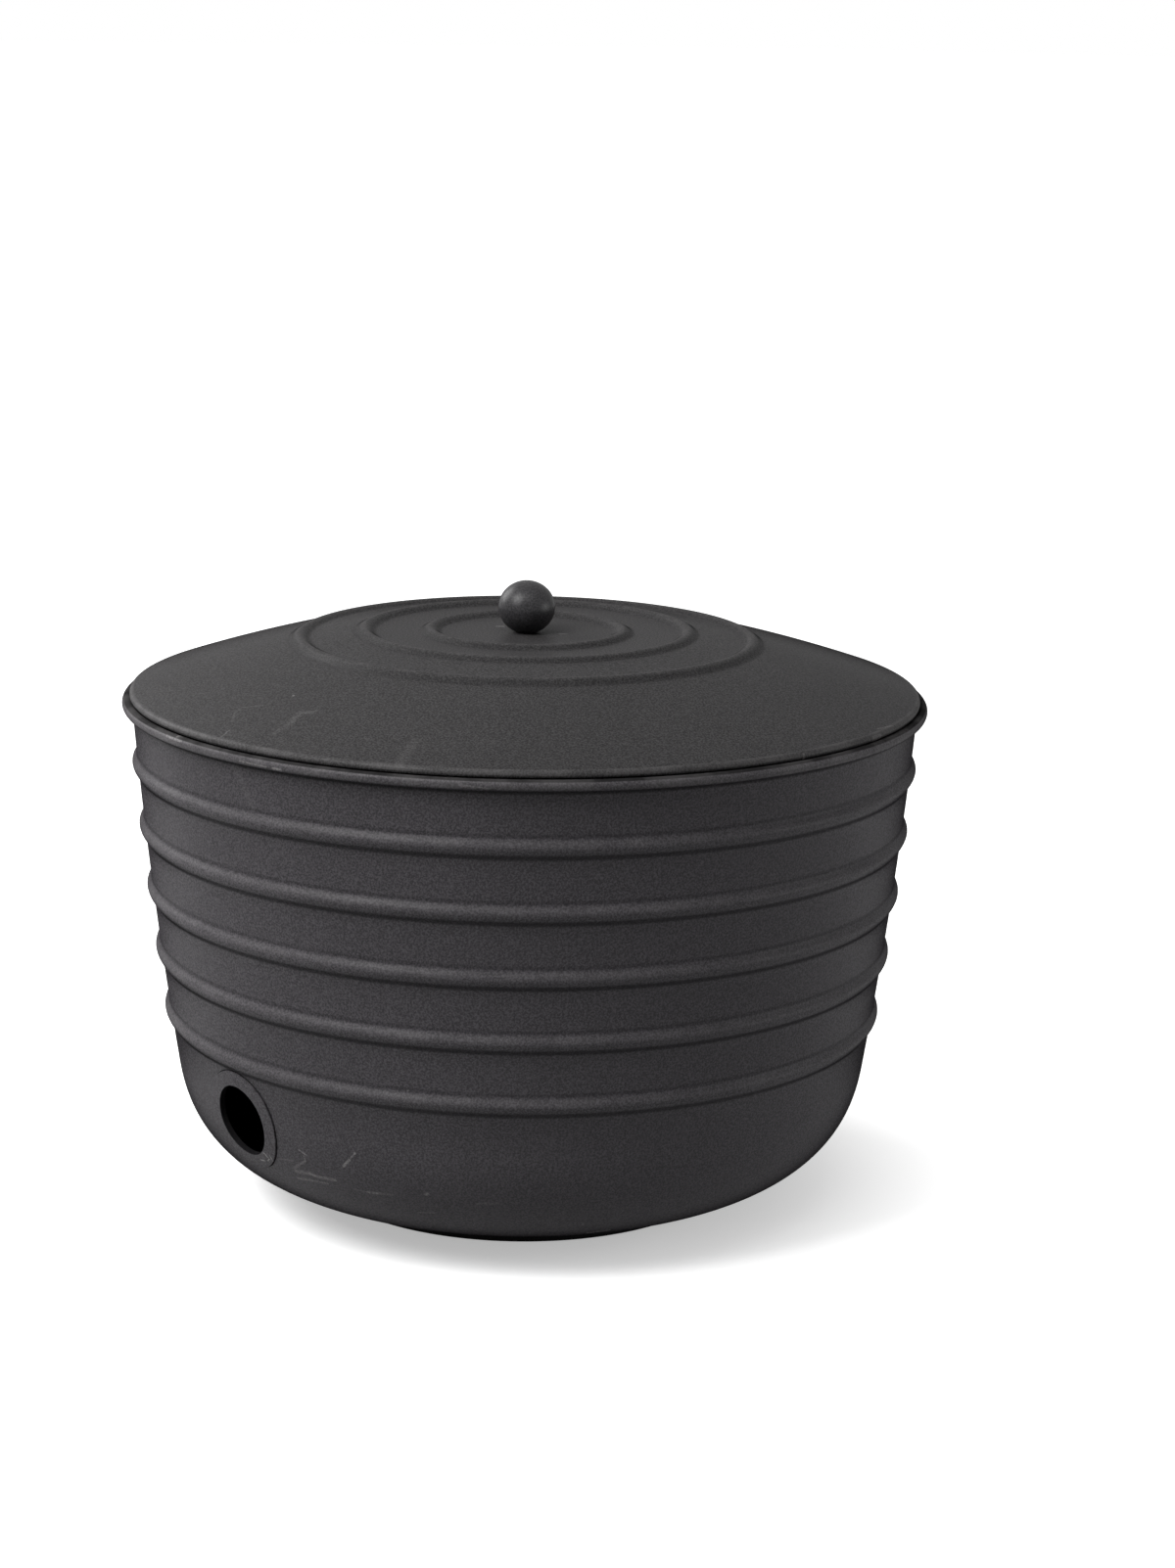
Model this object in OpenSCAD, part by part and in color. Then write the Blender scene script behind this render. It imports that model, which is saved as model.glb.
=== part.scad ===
// Garden hose pot. A spun sheet-steel pot with swaged beads, a rolled rim, a foot ring and a set
// eyelet for the hose, closed by a loose pressed lid with raised rings and a ball knob.
// The origin is the centre of the footprint on the ground, +Z is up and the hose hole faces -Y.

/* [Pot] */
// Diameter across the rolled rim
rim_d = 430; // [400:1:470]
// Height from the ground to the top of the rolled rim
pot_h = 271; // [260:1:320]
// Thickness of the pot's sheet
pot_t = 0.8; // [0.6:0.1:1.2]
// Diameter of the rolled rim, measured through the roll
rim_roll_d = 6; // [5:0.5:8]
// How far the wall draws in from the edge of the rim down to the rounded base
wall_inset = 27.8; // [20:0.2:36]
// Barrel bulge of the wall beyond a straight taper
wall_bow = 1.8; // [0:0.1:4]

/* [Base] */
// Height of the rounded base above the floor sheet
base_h = 65; // [50:1:72]
// Diameter of the flat part of the floor
floor_d = 192; // [170:1:210]
// Squareness of the base curve, 2 is an ellipse
base_squareness = 2.25; // [2:0.05:2.6]
// Height of the floor sheet above the ground
foot_h = 7.6; // [5:0.2:15]
// Outside diameter of the foot ring
foot_d = 222; // [200:1:250]
// Thickness of the foot ring
foot_t = 1.5; // [1:0.1:3]
// Diameter of the middle drain hole
drain_mid_d = 12; // [6:0.5:20]
// Diameter of the outer drain holes
drain_d = 8; // [5:0.5:12]
// Diameter of the circle that the outer drain holes lie on
drain_circle_d = 120; // [80:1:150]
// Number of outer drain holes
drain_count = 4; // [3:1:8]

/* [Wall beads] */
// Number of swaged beads round the wall
bead_count = 5; // [1:1:6]
// Distance from one bead to the next
bead_pitch = 33.8; // [26:0.2:36]
// Drop from the top of the rim to the first bead
bead_drop = 35; // [24:0.2:40]
// Width of a bead from foot to foot
bead_w = 12; // [8:0.2:14]
// Height of a bead out of the wall
bead_h = 2.9; // [1:0.1:4]
// Fullness of a bead's lower side, 1 is as full as its upper side
bead_fullness = 1.7; // [1:0.1:2.5]

/* [Hose eyelet] */
// Clear diameter that the hose passes through
hose_hole_d = 38.5; // [30:0.5:40]
// Height of the hole's centre above the ground
hose_hole_z = 67.5; // [62:0.5:72]
// Downward tilt of the hole, which lies square to the base curve
hose_hole_tilt = 15; // [5:0.5:20]
// Thickness of the eyelet's flange and barrel
eyelet_t = 0.8; // [0.6:0.1:1.5]
// Width of the eyelet's flange outside the wall, measured from the hole
flange_w = 8; // [6:0.25:9]
// Thickness of the backing washer
backing_t = 1; // [0.6:0.1:2]
// Width of the backing washer, measured from the hole
backing_w = 7; // [5:0.25:9]
// Width of the set-over lip inside the pot, measured from the hole
lip_w = 3.2; // [2:0.1:4.5]
// Play between the eyelet's barrel and the holes that it passes
barrel_play = 0.1; // [0.05:0.05:0.3]

/* [Lid] */
// Inset of the lid's edge from the outside of the rim
lid_inset = 4; // [3.8:0.1:4.6]
// Thickness of the lid's sheet
lid_t = 0.8; // [0.6:0.1:1.2]
// Diameter of the roll along the lid's edge
lid_roll_d = 5; // [4:0.25:5.5]
// Height of the lid's flat top above the rim
lid_rise = 33; // [26:0.5:45]
// Fall from the flat top to the foot of the outer ring
shoulder_fall = 5.1; // [2:0.1:8]
// Bulge of the sloping skirt beyond a straight cone
skirt_bow = 1; // [0:0.1:2.5]
// Number of raised rings
ring_count = 3; // [2:1:3]
// Crest diameter of the inner ring
ring_first_d = 103; // [90:1:110]
// Distance from one ring to the next
ring_pitch = 35; // [28:0.5:38]
// Width of a ring from foot to foot
ring_w = 14; // [10:0.5:16]
// Height of a ring above the lid
ring_h = 2.8; // [1:0.1:4]
// Diameter of the shallow seat under the knob
seat_d = 32; // [24:1:40]
// Depth of the shallow seat under the knob
seat_depth = 0.3; // [0.2:0.1:2]
// Play between the lid's roll and the rim's roll where the lid rests
lid_play = 0.3; // [0.2:0.05:0.6]
// Depth that the locating ring reaches below the top of the rim
locating_depth = 13; // [8:0.5:25]
// Thickness of the locating ring
locating_t = 1.2; // [0.8:0.1:2]
// Gap between the locating ring and the lid's roll
locating_gap = 0.5; // [0.3:0.1:1.5]

/* [Knob] */
// Diameter of the ball knob
knob_d = 30.3; // [22:0.1:40]
// Height of the whole ball, which is a little flattened, before its flat is cut
knob_h = 28.6; // [24:0.1:40]
// Diameter of the flat that the ball stands on
knob_flat_d = 9; // [9:0.5:16]
// Nominal diameter of the knob's screw
screw_d = 6; // [4:0.5:8]
// Length of the screw under its head
screw_len = 15; // [11:0.5:18]
// Diameter of the screw's pan head
screw_head_d = 12; // [10.5:0.5:15]
// Height of the screw's pan head
screw_head_h = 3.8; // [3:0.1:5]
// Width of a slot of the cross recess
recess_w = 1.6; // [1:0.1:2]
// Length of a slot of the cross recess
recess_l = 6; // [4:0.2:8]
// Depth of the cross recess
recess_depth = 2; // [1:0.1:2.5]
// Diameter of the flat washer under the lid
washer_d = 18; // [16:0.5:28]
// Thickness of the flat washer
washer_t = 1.6; // [1:0.1:2.5]
// Play between the screw and the ball's thread
thread_play = 0.05; // [0.02:0.01:0.1]
// Play between the screw and the holes in the lid and washer
screw_play = 0.3; // [0.2:0.05:0.6]
// Depth of the ball's hole past the end of the screw
thread_runout = 2; // [1:0.5:4]

/* [Hidden] */

$fn = 96;
eps = 0.01;

powder_black = [0.24, 0.235, 0.235];
inner_black = [0.19, 0.185, 0.185];
zinc_plate = [0.7, 0.7, 0.68];

// Steps along a bead, a roll and the base curve
bead_steps = 12;
roll_steps = 20;
base_steps = 24;
skirt_steps = 6;
knob_steps = 40;

// Rim roll and wall
rim_roll_r = rim_roll_d / 2;
rim_roll_at = [rim_d / 2 - rim_roll_r, pot_h - rim_roll_r];
wall_top_r = rim_roll_at.x - rim_roll_r + pot_t;
wall_low_r = rim_d / 2 - wall_inset;
wall_low_z = foot_h + base_h;
wall_run = rim_roll_at.y - wall_low_z;
wall_lean = (wall_top_r - wall_low_r + 4 * wall_bow) / wall_run;
// The roll ends clear of the wall below it
rim_roll_end = -125;

// Hose eyelet
barrel_r = hose_hole_d / 2 + eyelet_t;
flange_r = hose_hole_d / 2 + flange_w;
backing_in = pot_t + backing_t;
lip_in = backing_in + eyelet_t;
hole_reach = 20;

// Lid
lid_roll_r = lid_roll_d / 2;
lid_roll_x = rim_d / 2 - lid_inset - lid_roll_r;
roll_gap = rim_roll_r + lid_roll_r + lid_play;
lid_roll_at = [lid_roll_x, rim_roll_at.y + sqrt(pow(roll_gap, 2) - pow(rim_roll_at.x - lid_roll_x, 2))];
lid_roll_end = -190;
lid_top_z = pot_h + lid_rise;
flat_r = ring_first_d / 2 + max(ring_count - 2, 0) * ring_pitch + ring_w / 2;
shoulder = [ring_first_d / 2 + (ring_count - 1) * ring_pitch + ring_w / 2, lid_top_z - shoulder_fall];
locating_r = lid_roll_at.x - lid_roll_r - locating_gap;

// Knob
knob_seat_z = lid_top_z - seat_depth;
knob_z = knob_seat_z + knob_h / 2 * sqrt(1 - pow(knob_flat_d / knob_d, 2));
washer_z = knob_seat_z - lid_t - washer_t;

// ---- Outlines of sheet metal ----

// Height of a rounded bead at a place s above its crest, for a bead w wide and h high, with its
// lower side made fuller
function bead(s, w, h, fullness = 1) =
    abs(s) < w / 2 ? h * pow((1 + cos(360 * s / w)) / 2, s < 0 ? 1 / fullness : 1) : 0;

function arc(centre, r, from, to, steps) =
    [for (i = [0:steps]) let (a = from + (to - from) * i / steps) centre + r * [cos(a), sin(a)]];

function reversed(path) = [for (i = [len(path) - 1:-1:0]) path[i]];

// Unit normal to the left of the way from a to b
function left_of(a, b) = [a.y - b.y, b.x - a.x] / norm(b - a);

// The path moved t to its left, with each edge kept parallel to itself
function moved(path, t) =
    let (last = len(path) - 1)
    [for (i = [0:last])
        let (before = max(i - 1, 0), after = min(i, last - 1),
             m = left_of(path[before], path[before + 1]) + left_of(path[after], path[after + 1]))
        path[i] + t * 2 * m / (m * m)];

// A sheet of thickness b - a that lies between a and b to the left of the path
module sheet(path, a, b) {
    polygon(concat(moved(path, a), reversed(moved(path, b))));
}

// ---- Outside of the pot, from the middle of the floor to the end of the rim roll ----

// Radius of the plain wall at height z
function wall_r(z) =
    let (s = (z - wall_low_z) / wall_run)
    wall_low_r + (wall_top_r - wall_low_r) * s + 4 * wall_bow * s * (1 - s);

bead_zs = [for (i = [bead_count - 1:-1:0])
    let (z = pot_h - bead_drop - i * bead_pitch)
    if (z - bead_w / 2 > wall_low_z) z];

base_curve = [for (i = [0:base_steps])
    let (a = 90 * i / base_steps, power = 2 / base_squareness,
         x = (wall_low_r - floor_d / 2) * pow(sin(a), power),
         z = -base_h * pow(cos(a), power))
    [floor_d / 2 + x + wall_lean * z * (1 + z / base_h), wall_low_z + z]];

beaded_wall = [for (zb = bead_zs, i = [0:bead_steps])
    let (s = bead_w * (i / bead_steps - 1 / 2))
    [wall_r(zb + s) + bead(s, bead_w, bead_h, bead_fullness), zb + s]];

rim_roll = arc(rim_roll_at, rim_roll_r - pot_t, 180 - atan(wall_lean / 2), rim_roll_end, roll_steps);

floor_start = [[0, foot_h]];
pot_wall = concat(base_curve, beaded_wall);
pot_path = concat(floor_start, pot_wall, rim_roll);

hole_wall_r = lookup(hose_hole_z, [for (p = pot_wall) [p.y, p.x]]);

// ---- Top of the lid, from its middle to the end of its roll ----

// Height of the lid without its rings at radius r
function lid_z(r) =
    r < flat_r ? lid_top_z : lid_top_z - shoulder_fall * (r - flat_r) / (shoulder.x - flat_r);

seat_path = concat([[0, knob_seat_z]], [for (i = [0:bead_steps / 2])
    let (s = seat_d / 4 * (1 + 2 * i / bead_steps))
    [s, lid_top_z - bead(s - seat_d / 4, seat_d / 2, seat_depth)]]);

ringed_top = [for (k = [0:ring_count - 1], i = [0:bead_steps])
    let (s = ring_w * (i / bead_steps - 1 / 2), r = ring_first_d / 2 + k * ring_pitch + s)
    [r, lid_z(r) + bead(s, ring_w, ring_h)]];

skirt_way = lid_roll_at - shoulder;
skirt_angle = atan2(skirt_way.y, skirt_way.x) + asin(lid_roll_r / norm(skirt_way))
    - atan(4 * skirt_bow / norm(skirt_way));
skirt_end = lid_roll_at + lid_roll_r * [cos(90 + skirt_angle), sin(90 + skirt_angle)];
skirt = [for (i = [1:skirt_steps - 1])
    let (u = i / skirt_steps)
    shoulder + u * (skirt_end - shoulder)
        + 4 * skirt_bow * u * (1 - u) * left_of(shoulder, skirt_end)];

lid_roll = arc(lid_roll_at, lid_roll_r, 90 + skirt_angle, lid_roll_end, roll_steps);

lid_top = concat(seat_path, ringed_top, skirt);
lid_path = concat(lid_top, lid_roll);
lid_under = moved(lid_path, -lid_t);

// ---- Pot ----

// Places its children on the hose hole, with +Z along the hole and out of the pot
module at_hose_hole() {
    translate([0, -hole_wall_r, hose_hole_z]) rotate([90 + hose_hole_tilt, 0, 0]) children();
}

// A disc of radius r through the wall at the hose hole
module hole_plug(r) {
    at_hose_hole() translate([0, 0, -hole_reach]) cylinder(r = r, h = 2 * hole_reach);
}

// The part of a plug of radius r that lies between a and b inside the outside of the wall
module wall_disc(r, a, b) {
    intersection() {
        hole_plug(r);
        rotate_extrude() sheet(pot_wall, a, b);
    }
}

module drain_holes() {
    translate([0, 0, foot_h - eps]) cylinder(d = drain_mid_d, h = pot_t + 2 * eps);
    for (i = [0:drain_count - 1])
        rotate([0, 0, 45 + 360 * i / drain_count])
            translate([drain_circle_d / 2, 0, foot_h - eps])
                cylinder(d = drain_d, h = pot_t + 2 * eps);
}

// Spun shell: flat floor, rounded base, barrelled wall with swaged beads, rolled rim
module pot_shell() {
    color(powder_black) difference() {
        rotate_extrude() sheet(pot_path, 0, pot_t);
        hole_plug(barrel_r + barrel_play);
        drain_holes();
    }
}

// Rolled strip welded under the base, its upper edge trimmed to the base curve
module foot_ring() {
    color(inner_black) rotate_extrude() difference() {
        translate([foot_d / 2 - foot_t, 0]) square([foot_t, wall_low_z]);
        polygon(concat(floor_start, base_curve, [[wall_low_r, pot_h], [0, pot_h]]));
    }
}

// One-piece eyelet: flange bent to the wall, barrel, and lip set over the backing washer
module hose_eyelet() {
    color(powder_black) difference() {
        union() {
            wall_disc(flange_r, -eyelet_t, 0);
            wall_disc(barrel_r, -eyelet_t, lip_in);
            wall_disc(hose_hole_d / 2 + lip_w, backing_in, lip_in);
        }
        hole_plug(hose_hole_d / 2);
    }
}

// Washer that the eyelet's lip clamps against the inside of the wall
module eyelet_backing_washer() {
    color(inner_black) difference() {
        wall_disc(hose_hole_d / 2 + backing_w, pot_t, backing_in);
        hole_plug(barrel_r + barrel_play);
    }
}

// ---- Lid ----

// Pressed lid: knob seat, raised rings, sloping skirt and rolled edge
module lid_shell() {
    color(powder_black) difference() {
        rotate_extrude() sheet(lid_path, -lid_t, 0);
        translate([0, 0, knob_seat_z - lid_t - eps])
            cylinder(d = screw_d + 2 * screw_play, h = lid_t + 2 * eps);
    }
}

// Strip welded under the lid, which keeps it in the mouth of the pot
module lid_locating_ring() {
    color(inner_black) rotate_extrude() intersection() {
        translate([locating_r - locating_t, pot_h - locating_depth]) square([locating_t, lid_rise + pot_h]);
        polygon(concat([for (i = [0:len(lid_top)]) lid_under[i]], [[lid_roll_at.x, 0], [0, 0]]));
    }
}

// ---- Knob ----

// Slightly flattened ball with a flat to stand on and a threaded blind hole
module knob_ball() {
    thread_len = screw_len - lid_t - washer_t + thread_runout;
    flat_angle = -acos(knob_flat_d / knob_d);
    outline = [for (i = [0:knob_steps])
        let (a = flat_angle + (90 - flat_angle) * i / knob_steps)
        [knob_d / 2 * cos(a), knob_z + knob_h / 2 * sin(a)]];
    color(powder_black) difference() {
        rotate_extrude() polygon(concat([[0, knob_seat_z]], outline));
        translate([0, 0, knob_seat_z - eps])
            cylinder(d = screw_d + 2 * thread_play, h = thread_len + eps);
    }
}

// Pan-head screw, driven from under the lid
module knob_screw() {
    // Domed end of the head, drawn as a quarter of an ellipse
    head = [for (i = [0:bead_steps])
        let (a = 90 * i / bead_steps)
        [screw_head_d / 2 * pow(cos(a), 0.5), -screw_head_h * sin(a)]];
    color(zinc_plate) translate([0, 0, washer_z]) {
        difference() {
            rotate_extrude() polygon(concat([[0, 0]], head));
            for (turn = [0, 90])
                rotate([0, 0, turn])
                    translate([-recess_l / 2, -recess_w / 2, -screw_head_h - eps])
                        cube([recess_l, recess_w, recess_depth + eps]);
        }
        cylinder(d = screw_d, h = screw_len);
    }
}

module knob_washer() {
    color(zinc_plate) translate([0, 0, washer_z]) difference() {
        cylinder(d = washer_d, h = washer_t);
        translate([0, 0, -eps]) cylinder(d = screw_d + 2 * screw_play, h = washer_t + 2 * eps);
    }
}

pot_shell();
foot_ring();
hose_eyelet();
eyelet_backing_washer();
lid_shell();
lid_locating_ring();
knob_ball();
knob_screw();
knob_washer();
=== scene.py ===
from math import acos, asin, atan, atan2, cos, degrees, hypot, pi, radians, sin, sqrt

import bmesh
import bpy
from mathutils import Matrix, Vector


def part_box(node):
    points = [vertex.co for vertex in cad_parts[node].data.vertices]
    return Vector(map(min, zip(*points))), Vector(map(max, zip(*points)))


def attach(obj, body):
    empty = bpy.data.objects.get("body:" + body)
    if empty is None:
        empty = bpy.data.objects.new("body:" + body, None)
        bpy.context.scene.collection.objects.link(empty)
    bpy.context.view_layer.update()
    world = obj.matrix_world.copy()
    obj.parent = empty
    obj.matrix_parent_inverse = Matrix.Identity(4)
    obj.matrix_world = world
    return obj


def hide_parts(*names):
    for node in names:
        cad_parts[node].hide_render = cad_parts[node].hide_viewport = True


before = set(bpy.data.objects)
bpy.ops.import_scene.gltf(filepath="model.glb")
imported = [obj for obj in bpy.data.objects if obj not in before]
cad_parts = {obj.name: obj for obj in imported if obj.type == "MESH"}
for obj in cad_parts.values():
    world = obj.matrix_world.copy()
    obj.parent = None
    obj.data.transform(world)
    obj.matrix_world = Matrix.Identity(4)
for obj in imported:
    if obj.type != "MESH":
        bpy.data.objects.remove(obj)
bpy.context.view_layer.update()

# ---- Studio ----
# A white floor that runs out of sight and an even white surround. Soft boxes stand high and low on the
# front left, above the front and behind on the left, and a small one on the right. The camera stands
# where the photograph was taken from.
MM = 0.001
VIEW_TURN = radians(50.5)
CAMERA_BACK = 1.7589
CAMERA_HEIGHT = 0.6236
CAMERA_PITCH = radians(12.90)
CAMERA_YAW = radians(1.106)
CAMERA_ROLL = radians(0.932)
CAMERA_LENS = 76.6
SENSOR = 36
POT_MIDDLE = (0, 0, 0.15)
POT_LOW = (0, 0, 0.12)
WHITE = (1, 1, 1, 1)
AMBIENT = 0.045
FLOOR_HALF = 60
FLOOR_WHITE = (0.8, 0.8, 0.8, 1)
FLOOR_BOUNCE = (0.26, 0.26, 0.26, 1)
# Painted light on the floor: its glow for the eye is weak near the pot and rises to full white between these
# distances.
FLOOR_GLOW_NEAR = 0.42
GLOW_FROM = 0.1
GLOW_TO = 0.3

seen_from = Matrix.Rotation(VIEW_TURN, 4, "Z")


def new_object(name, data):
    piece = bpy.data.objects.new(name, data)
    bpy.context.scene.collection.objects.link(piece)
    return piece


def add_camera():
    data = bpy.data.cameras.new("camera")
    data.sensor_fit = "VERTICAL"
    data.sensor_height = SENSOR
    data.lens = CAMERA_LENS
    camera = new_object("camera", data)
    level = Matrix.Rotation(-CAMERA_YAW, 4, "Z") @ Matrix.Rotation(pi / 2 - CAMERA_PITCH, 4, "X")
    stand = Matrix.Translation((0, -CAMERA_BACK, CAMERA_HEIGHT))
    camera.matrix_world = seen_from @ stand @ level @ Matrix.Rotation(CAMERA_ROLL, 4, "Z")
    bpy.context.scene.camera = camera


def add_soft_box(name, place, target, size, power):
    data = bpy.data.lights.new(name, "AREA")
    data.shape = "RECTANGLE"
    data.size, data.size_y = size
    data.energy = power
    lamp = new_object(name, data)
    place = seen_from @ Vector(place)
    target = seen_from @ Vector(target)
    turn = (target - place).to_track_quat("-Z", "Y")
    lamp.matrix_world = Matrix.Translation(place) @ turn.to_matrix().to_4x4()


def socket_value(tree, socket, value):
    """Links an output to a socket, or writes a plain value on it."""
    if hasattr(value, "is_output"):
        tree.links.new(value, socket)
    else:
        socket.default_value = value


def add_node(tree, kind, given=None, **settings):
    """A new node with its settings, and with an output or a plain value for each given input."""
    node = tree.nodes.new(kind)
    for name, value in settings.items():
        setattr(node, name, value)
    for name, value in (given or {}).items():
        socket_value(tree, node.inputs[name], value)
    return node


def shade_maths(tree, operation, value, *others, clamp=False):
    """The value, worked on by each of the others in turn, or on its own by an operation for one."""
    for other in others or (0.0,):
        node = add_node(tree, "ShaderNodeMath", {0: value, 1: other}, operation=operation, use_clamp=clamp)
        value = node.outputs[0]
    return value


def vector_maths(tree, operation, a, b=(0.0, 0.0, 0.0), result=0):
    second = "Scale" if operation == "SCALE" else 1
    return add_node(tree, "ShaderNodeVectorMath", {0: a, second: b}, operation=operation).outputs[result]


def shade_range(tree, value, low, high, to_low=0.0, to_high=1.0):
    """Eases from to_low, where the value is low, to to_high, where it is high."""
    given = {"Value": value, "From Min": low, "From Max": high, "To Min": to_low, "To Max": to_high}
    return add_node(tree, "ShaderNodeMapRange", given, interpolation_type="SMOOTHSTEP").outputs["Result"]


def shade_mix(tree, amount, a, b):
    return add_node(tree, "ShaderNodeMix", {"Factor": amount, 6: a, 7: b}, data_type="RGBA").outputs[2]


def object_place(tree):
    return tree.nodes.new("ShaderNodeTexCoord").outputs["Object"]


def white_to_eye(tree):
    """A mask that is 1 for the camera, for reflections and for what is seen through glass."""
    ray = tree.nodes.new("ShaderNodeLightPath").outputs
    kinds = ("Is Camera Ray", "Is Glossy Ray", "Is Transmission Ray")
    return shade_maths(tree, "MAXIMUM", *[ray[kind] for kind in kinds])


def add_surround():
    world = bpy.data.worlds.new("surround")
    world.use_nodes = True
    tree = world.node_tree
    tree.nodes.clear()
    ambient = add_node(tree, "ShaderNodeBackground", {"Color": WHITE, "Strength": AMBIENT})
    white = add_node(tree, "ShaderNodeBackground", {"Color": WHITE, "Strength": 1})
    mix = add_node(tree, "ShaderNodeMixShader",
                   {"Fac": white_to_eye(tree), 1: ambient.outputs[0], 2: white.outputs[0]})
    add_node(tree, "ShaderNodeOutputWorld", {"Surface": mix.outputs[0]})
    bpy.context.scene.world = world


def add_floor():
    """White paper that takes the shadows and throws little light back. For the eye it glows, little near the
    pot and fully white farther out: painted light that fades the shadow away from the pot.
    """
    corners = [(x * FLOOR_HALF, y * FLOOR_HALF, 0) for x, y in ((-1, -1), (1, -1), (1, 1), (-1, 1))]
    mesh = bpy.data.meshes.new("floor")
    mesh.from_pydata(corners, [], [(0, 1, 2, 3)])
    floor = new_object("floor", mesh)
    material = bpy.data.materials.new("floor_white")
    material.use_nodes = True
    tree = material.node_tree
    tree.nodes.clear()
    to_eye = white_to_eye(tree)
    tint = shade_mix(tree, to_eye, FLOOR_BOUNCE, FLOOR_WHITE)
    paint = add_node(tree, "ShaderNodeBsdfDiffuse", {"Color": tint})
    away = vector_maths(tree, "LENGTH", object_place(tree), result="Value")
    rise = shade_range(tree, away, GLOW_FROM, GLOW_TO, FLOOR_GLOW_NEAR)
    glow = add_node(tree, "ShaderNodeEmission", {"Strength": shade_maths(tree, "MULTIPLY", to_eye, rise)})
    both = add_node(tree, "ShaderNodeAddShader", {0: paint.outputs[0], 1: glow.outputs[0]})
    add_node(tree, "ShaderNodeOutputMaterial", {"Surface": both.outputs[0]})
    mesh.materials.append(material)


bpy.context.scene.view_settings.view_transform = "Standard"
add_camera()
add_surround()
add_floor()
add_soft_box("key", place=(-1.0, -0.8, 1.8), target=POT_MIDDLE, size=(1.0, 1.0), power=18)
add_soft_box("key_low", place=(-0.9, -0.7, 1.2), target=POT_MIDDLE, size=(0.8, 0.8), power=14)
add_soft_box("top", place=(0, -0.9, 1.9), target=POT_MIDDLE, size=(1.2, 0.8), power=6)
add_soft_box("back_left", place=(-1.5, 1.0, 1.2), target=POT_MIDDLE, size=(1.2, 1.2), power=32)
add_soft_box("right", place=(1.4, -0.2, 0.4), target=POT_LOW, size=(0.8, 0.5), power=4.4)

# ---- Pot shell ----
# One disc of mild steel, spun over a former: flat floor, rounded base, barrelled wall with five
# swaged beads, and the rim rolled outwards into a hollow bead. Powder coated after forming.
SHEET = 0.8
RIM_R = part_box("pot_shell")[1].x / MM
RIM_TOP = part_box("pot_shell")[1].z / MM
FLOOR_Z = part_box("pot_shell")[0].z / MM
RIM_ROLL_R = 3
RIM_ROLL_END = -125
WALL_TAPER = 27.8
WALL_LOW_R = RIM_R - WALL_TAPER
WALL_BOW = 1.8
BASE_H = 65
FLOOR_R = 96
BASE_SQUARENESS = 2.25
BEADS = 5
BEAD_PITCH = 33.8
BEAD_DROP = 35
BEAD_W = 12
BEAD_H = 2.9
BEAD_FULLNESS = 1.7
DRAIN_MID_R = 6
DRAIN_R = 4
DRAIN_CIRCLE_R = 60
DRAINS = 4
DRAIN_TURN = 45
DRAIN_CUT = 5
HOLE_CUT = 20

# How finely the sheet is drawn. Two more rows of points on the floor keep its triangles short.
SPIN_STEPS = 288
FLOOR_ROWS = (30, 88)
BASE_STEPS = 40
BEAD_STEPS = 16
GAP_STEPS = 3
ROLL_STEPS = 26
END_STEPS = 4
HOLE_STEPS = 96
SEAM_GAP = 2e-6
SHARP_ANGLE = radians(35)

roll_at = (RIM_R - RIM_ROLL_R, RIM_TOP - RIM_ROLL_R)
wall_top_r = roll_at[0] - RIM_ROLL_R + SHEET
wall_low_z = FLOOR_Z + BASE_H
wall_run = roll_at[1] - wall_low_z
wall_lean = (wall_top_r - WALL_LOW_R + 4 * WALL_BOW) / wall_run
bead_zs = [RIM_TOP - BEAD_DROP - i * BEAD_PITCH for i in range(BEADS - 1, -1, -1)]


def bead(s, width, height, fullness=1):
    """Height of a rounded bead at a place s above its crest, with its lower side made fuller."""
    swell = (1 + cos(2 * pi * s / width)) / 2 if abs(s) < width / 2 else 0
    return height * swell ** (1 / fullness if s < 0 else 1)


def wall_r(z):
    s = (z - wall_low_z) / wall_run
    return WALL_LOW_R + (wall_top_r - WALL_LOW_R) * s + 4 * WALL_BOW * s * (1 - s)


def arc(centre, radius, start, end, steps):
    """Points along an arc, from one angle to another, in degrees."""
    angles = [radians(start + (end - start) * i / steps) for i in range(steps + 1)]
    return [(centre[0] + radius * cos(a), centre[1] + radius * sin(a)) for a in angles]


def base_point(turn):
    """Point of the base curve. The turn runs from 0 at the floor to a quarter turn at the wall."""
    x = (WALL_LOW_R - FLOOR_R) * sin(turn) ** (2 / BASE_SQUARENESS)
    z = -BASE_H * max(cos(turn), 0) ** (2 / BASE_SQUARENESS)
    return FLOOR_R + x + wall_lean * z * (1 + z / BASE_H), wall_low_z + z


def base_curve(steps):
    return [base_point(pi / 2 * i / steps) for i in range(steps + 1)]


def beaded_wall(steps, between):
    """The wall from the base curve to the rim, with points between the beads too."""
    points = []
    for zb in bead_zs:
        for i in range(steps + 1):
            s = BEAD_W * (i / steps - 1 / 2)
            points.append((wall_r(zb + s) + bead(s, BEAD_W, BEAD_H, BEAD_FULLNESS), zb + s))
        gap = (BEAD_PITCH if zb < bead_zs[-1] else roll_at[1] - zb) - BEAD_W / 2
        for i in range(1, between):
            z = zb + BEAD_W / 2 + (gap - BEAD_W / 2) * i / between
            points.append((wall_r(z), z))
    return points


def moved(path, t):
    """The path moved t to its left, with each edge kept parallel to itself."""
    steps = [Vector(b) - Vector(a) for a, b in zip(path, path[1:])]
    lefts = [Vector((-step.y, step.x)).normalized() for step in steps]
    points = []
    for i, point in enumerate(path):
        m = lefts[max(i - 1, 0)] + lefts[min(i, len(lefts) - 1)]
        points.append(tuple(Vector(point) + t * 2 * m / m.dot(m)))
    return points


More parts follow.
